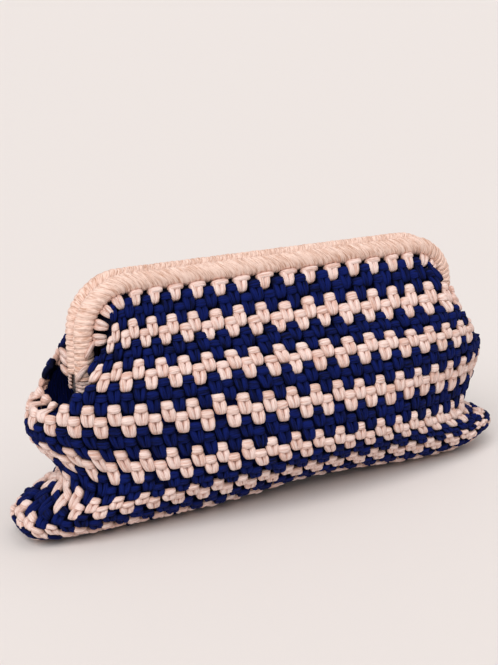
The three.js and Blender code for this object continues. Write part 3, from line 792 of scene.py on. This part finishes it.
class CLUTCH_OT_lining(bpy.types.Operator):
    """Sews the cotton lining into the front and back of the pouch"""
    bl_idname = "clutch.lining"
    bl_label = "Sew the lining"

    def execute(self, context):
        pouch = context.scene.clutch_pouch
        cotton = plain_cotton("cotton_lining", tuple(pouch.lining), LINING_THREAD)
        fabric = Fabric(LINING_ROWS)
        arc, share, point, normal = fabric.grid(0, fabric.length, *LINING_GRID)
        along = share * fabric.half_row(arc)
        # Ripples are a wave along the row times a slow slanting one, plus a slanting wave up the cloth.
        # They die out at the seam, at the top edge and at the side folds.
        ripple = (np.sin(along / 7 + np.sin(arc / 19)) * np.sin(arc / 31 + along / 53)
                  + np.sin(arc / 9 + along / 23))
        held = smooth(arc, fabric.length - HELD_RUN, fabric.length)
        loose = smooth(arc, *LOOSE_FROM) * (1 - held) * (1 - share ** 8)
        points = point - (RIPPLE * (RIPPLE_MEAN + ripple) * loose)[..., None] * normal
        quads, i, j = grid_quads(*arc.shape, False)
        uv = np.stack([along.ravel()[quads], arc.ravel()[quads]], 2)
        for side in SIDES:
            placed = settled(on_side(side, points))
            piece = mesh_object(f"{side}_lining_cloth", placed, quads, uv, cotton)
            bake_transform(piece)
            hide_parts(f"{side}_lining")
            if side == "front":
                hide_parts("base_lining")
        return {"FINISHED"}


# Frame

# Lengths along a half-frame's centre line: a leg, a corner, and the whole.
LEG_RUN = BAR_HEIGHT - CORNER_RADIUS - LEG_BOTTOM
CORNER_RUN = CORNER_RADIUS * math.pi / 2
FRAME_RUN = 2 * LEG_RUN + 2 * CORNER_RUN + 2 * (LEG_X - CORNER_RADIUS)
# The winding: steps along each turn and sides round it, the slant of the turns on the bar and the share of
# its second wave, the power that rounds a crest, the strands in a turn and the groove between them, how
# uneven the turns are, and the room left for that.
TURN_STEPS, WINDING_SIDES = 12, 28
WINDING_SLANT, DOUBLE_SLANT = 0.9, 0.35
CREST_POWER = 0.8
STRANDS, STRAND_GROOVE = 3, 0.1
TURN_UNEVEN, WINDING_ROOM = 0.18, 0.1
# Edge stitches: the share of a corner that has them, how uneven their places are, their yarn's half-depth,
# a column's width, how far inside the U and before the frame they start, and a level's run in and forward.
KNOT_SHARE, KNOT_UNEVEN = 0.8, 0.6
KNOT_DEPTH, KNOT_WIDTH = 2.2, 8.0
KNOT_INSIDE, KNOT_BEFORE = 3.0, 8.0
KNOT_RUN_IN, KNOT_RUN_FORWARD = 6.5, 1.5
# Strands round a leg: height over the winding's end, first angle, angle swept, rise, height over the
# winding's surface, and hand, 1 for the left leg. Ties hold a panel's edge, bindings a leg's end.
TIES = [(0.5, 0.35, 0.95, 9.0, 0.3, 1), (15.5, 1.35, 0.95, 9.0, 0.3, 1)]
BINDINGS = [(low, -0.35, 2.9, 0.4, -1.2, hand) for low in (-1.7, -4.1, -6.5, -8.9) for hand in (1, -1)]
# A strand's half-width as an angle, half-depth and drop for an angle, and a tie's lift near its upper end.
STRAND_ANGLE, STRAND_DEPTH, STRAND_DROP = 0.21, 1.1, 6.1
TIE_LIFT, TIE_LIFT_FROM = 2.0, (0.7, 1.2)


def frame_line(along):
    """Centre line of a half-frame from its left leg's end, in the plane y = 0, and the normal that points
    out of the U: straight legs, quarter rounds and a straight bar."""
    mirrored = along > FRAME_RUN / 2
    near = np.where(mirrored, FRAME_RUN - along, along)
    bend = np.clip((near - LEG_RUN) / CORNER_RADIUS, 0, np.pi / 2)
    sign = np.where(mirrored, -1.0, 1.0)
    outward = np.stack([-np.cos(bend) * sign, 0 * bend, np.sin(bend)], -1)
    x = CORNER_RADIUS - LEG_X - CORNER_RADIUS * np.cos(bend) + np.maximum(0, near - LEG_RUN - CORNER_RUN)
    x = x * sign
    z = BAR_HEIGHT - CORNER_RADIUS + CORNER_RADIUS * np.sin(bend) + np.minimum(0, near - LEG_RUN)
    return np.stack([x, 0 * x, z], -1), outward


class CLUTCH_OT_winding(bpy.types.Operator):
    """Winds the yarn on both half-frames"""
    bl_idname = "clutch.winding"
    bl_label = "Wind the frame"

    def execute(self, context):
        settings = context.scene.clutch_frame
        pitch, groove = settings.turn_width / MM, settings.turn_depth / MM
        yarn = jersey_yarn("wound_jersey_yarn", tuple(settings.winding), tuple(settings.winding_fold_shade),
                           WINDING_FOLD, PALE_SHEEN)
        steps, sides = int(FRAME_RUN / pitch * TURN_STEPS), WINDING_SIDES
        along, turn = np.meshgrid(np.linspace(0, FRAME_RUN, steps), np.arange(sides) * 2 * np.pi / sides,
                                  indexing="ij")
        # The crest of a turn is |cos| of its phase, which runs along the rod and once round it, and slants
        # on the bar with cos of the turn and of twice the turn. Turns differ a little in height by a
        # product of two slow sines, and |cos| of three times the phase draws the strands.
        lay = WINDING_SLANT * smooth(np.minimum(along, FRAME_RUN - along), LEG_RUN, LEG_RUN + CORNER_RUN)
        phase = along / pitch - turn / (2 * np.pi) + lay * (np.cos(turn) + DOUBLE_SLANT * np.cos(2 * turn))
        lift = np.abs(np.cos(np.pi * phase)) ** CREST_POWER
        strands = np.abs(np.cos(STRANDS * np.pi * phase))
        uneven = np.sin(1.7 * phase) * np.sin(0.61 * phase + 1) * TURN_UNEVEN
        radius = WOUND_RADIUS - groove * (1 - lift) - STRAND_GROOVE * (1 - strands) + uneven - WINDING_ROOM
        radius[0] = radius[-1] = BORE_RADIUS
        line, outward = frame_line(along)
        points = line + outward * (radius * np.cos(turn))[..., None]
        points[..., 1] -= radius * np.sin(turn) + HALF_OFFSET
        quads, i, j = grid_quads(steps, sides, True)
        run = phase[i, j % sides] - j // sides
        uv = np.stack([run * pitch, j * (2 * np.pi * WOUND_RADIUS / sides)], 2)
        # Each turn's tone is a number from 0 to 1, the fraction of a large multiple of a sine.
        tone = (np.sin(np.floor(phase + 0.5) * 12.9898) * 43758.5453) % 1.0
        for side in SIDES:
            placed = on_side(side, points)
            piece = mesh_object(f"{side}_frame_winding", placed, quads, uv, yarn, tone)
            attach(piece, f"{side}_frame")
            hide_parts(f"{side}_frame_wrap")
        return {"FINISHED"}


class CLUTCH_OT_edging(bpy.types.Operator):
    """Sews the panels' edges to the legs and corners of the half-frames"""
    bl_idname = "clutch.edging"
    bl_label = "Sew the edges to the frame"

    def execute(self, context):
        spacing = context.scene.clutch_frame.knot_spacing / MM
        _, pale = yarns()
        rng = np.random.default_rng(5)
        left = np.arange(LEG_RUN, LEG_RUN + KNOT_SHARE * CORNER_RUN, spacing)
        starts = np.concatenate([left, FRAME_RUN - left[1:]])
        at = (starts + rng.normal(0, KNOT_UNEVEN, len(starts)))[:, None, None]
        _, legs, heart = stitch_lines(KNOT_DEPTH)

        def knot(across, up, out):
            # Across runs along the frame, up leads out of the U, and a knot comes forward as it goes in.
            line, outward = frame_line(at + KNOT_WIDTH * across)
            points = line - outward * (KNOT_INSIDE - KNOT_RUN_IN * up)[..., None]
            points[..., 1] -= HALF_OFFSET + KNOT_BEFORE - KNOT_RUN_FORWARD * up + out
            return points

        strands = np.array(TIES + BINDINGS)
        low, first, sweep, rise, seat, hand = (column[:, None, None] for column in strands.T)

        def strand(across, up, out):
            # The ties come from the panel's edge and go down and out across the front of the leg. The
            # bindings lie round the front of each leg, under the winding's end, and hide its hinge plate.
            turn = first + sweep * up + across
            away = WOUND_RADIUS + seat + out + TIE_LIFT * smooth(up, *TIE_LIFT_FROM) * (seat > 0)
            return np.stack([-hand * (LEG_X + away * np.cos(turn)), -HALF_OFFSET - away * np.sin(turn),
                             LEG_BOTTOM + low + rise * up - STRAND_DROP * across], -1)

        groups = [tubes(knot, *repeated(line, len(starts)), fold_depths(rng, len(starts)))
                  for line in (*legs, heart)]
        up = np.array([1.2, 1.0, 0.7, 0.35, 0.06, -0.04])
        full = np.array([0.6, 0.9, 1.0, 1.0, 0.85, 0.3])
        line = strand_line(up, full, STRAND_ANGLE, STRAND_DEPTH)
        centre, width, depth = repeated(line, len(strands))
        groups.append(tubes(strand, centre, width * hand, depth, np.full(depth.shape, EVEN_FOLD)))
        for side in SIDES:
            made = [on_side(side, group) for group in groups]
            piece = tube_piece(f"{side}_edge_stitches", made, STITCH_LENGTHS[1:], pale, 31)
            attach(piece, f"{side}_frame")
        return {"FINISHED"}


class CLUTCH_OT_hinges(bpy.types.Operator):
    """Finishes the metal of the rods and the hinges"""
    bl_idname = "clutch.hinges"
    bl_label = "Finish the hinges"

    def execute(self, context):
        settings = context.scene.clutch_frame
        aluminium = drawn_metal("drawn_aluminium", tuple(settings.aluminium), 0.38)
        steel = drawn_metal("stamped_steel", tuple(settings.steel), 0.32)
        finishes = {"frame_aluminium": aluminium, "hinge_steel": steel}
        for entry in frame["record"]["subparts"]:
            if entry["material_slot"] in finishes:
                part = frame["nodes"][entry["node"]]
                part.data.materials.clear()
                part.data.materials.append(finishes[entry["material_slot"]])
        return {"FINISHED"}


# Stage

FLOOR_REACH = 30000.0
SENSOR_WIDTH = 36.0


class CLUTCH_OT_stage(bpy.types.Operator):
    """Sets the floor, the light and the camera"""
    bl_idname = "clutch.stage"
    bl_label = "Set the stage"

    def execute(self, context):
        settings = context.scene.clutch_stage
        scene = context.scene
        material, tree, shader = new_material("painted_floor")
        feed(tree, shader, {"Base Color": settings.floor, "Roughness": 0.7})
        corners = FLOOR_REACH * np.array([(-1, -1, 0), (1, -1, 0), (1, 1, 0), (-1, 1, 0)])
        floor = mesh_object("floor", corners, np.array([[0, 1, 2, 3]]), np.zeros((4, 2)), material)
        world = bpy.data.worlds.new("studio")
        world.use_nodes = True
        tree = world.node_tree
        tree.nodes.clear()
        path = node(tree, "LightPath")
        glow = node(tree, "Background", {"Color": settings.floor, "Strength": settings.glow})
        seen = node(tree, "Background", {"Color": settings.floor, "Strength": 1.0})
        either = node(tree, "Math", {0: path.outputs["Is Camera Ray"], 1: path.outputs["Is Glossy Ray"]},
                      operation="MAXIMUM")
        mix = node(tree, "MixShader", {0: either.outputs["Value"], 1: glow.outputs["Background"],
                                       2: seen.outputs["Background"]})
        node(tree, "OutputWorld", {"Surface": mix.outputs["Shader"]})
        scene.world = world
        # Turn from the front, height in the sky and spread, all in degrees, and strength.
        lamps = (("key", -50, 48, 40, settings.key_light), ("fill", 55, 62, 70, settings.fill_light))
        for name, turn, height, spread, strength in lamps:
            lamp = bpy.data.lights.new(name, "SUN")
            lamp.angle, lamp.energy = math.radians(spread), strength
            holder = bpy.data.objects.new(name, lamp)
            holder.rotation_euler = (math.radians(90 - height), 0, math.radians(turn))
            scene.collection.objects.link(holder)
        camera = bpy.data.cameras.new("camera")
        camera.lens, camera.sensor_width = settings.lens, SENSOR_WIDTH
        holder = bpy.data.objects.new("camera", camera)
        a, e = settings.azimuth, settings.elevation
        back = Vector((-math.sin(a) * math.cos(e), -math.cos(a) * math.cos(e), math.sin(e)))
        holder.location = Vector(settings.aim) + back * settings.distance
        holder.rotation_euler = (-back).to_track_quat("-Z", "Y").to_euler()
        scene.collection.objects.link(holder)
        scene.camera = holder
        scene.view_settings.view_transform = "Standard"
        return {"FINISHED"}


class CLUTCH_PT_panel(bpy.types.Panel):
    """Lists the steps that make the bag"""
    bl_label = "Clutch bag"
    bl_idname = "CLUTCH_PT_panel"
    bl_space_type = "VIEW_3D"
    bl_region_type = "UI"
    bl_category = "Clutch bag"

    def draw(self, context):
        for step in STEPS:
            self.layout.operator(step.bl_idname)
        for group in (context.scene.clutch_pouch, context.scene.clutch_frame, context.scene.clutch_stage):
            for name in group.__annotations__:
                self.layout.prop(group, name)


SETTINGS = {"clutch_pouch": ClutchPouchSettings, "clutch_frame": ClutchFrameSettings,
            "clutch_stage": ClutchStageSettings}
STEPS = (CLUTCH_OT_stage, CLUTCH_OT_pouch, CLUTCH_OT_lining, CLUTCH_OT_winding, CLUTCH_OT_edging,
         CLUTCH_OT_hinges)


def register():
    for group in (*SETTINGS.values(), *STEPS, CLUTCH_PT_panel):
        bpy.utils.register_class(group)
    for name, group in SETTINGS.items():
        setattr(bpy.types.Scene, name, bpy.props.PointerProperty(type=group))


def unregister():
    for name in SETTINGS:
        delattr(bpy.types.Scene, name)
    for group in (CLUTCH_PT_panel, *reversed(STEPS), *SETTINGS.values()):
        bpy.utils.unregister_class(group)


def main():
    register()
    bpy.ops.clutch.stage()
    bpy.ops.clutch.pouch()
    bpy.ops.clutch.lining()
    bpy.ops.clutch.winding()
    bpy.ops.clutch.edging()
    bpy.ops.clutch.hinges()


if __name__ == "__main__":
    main()
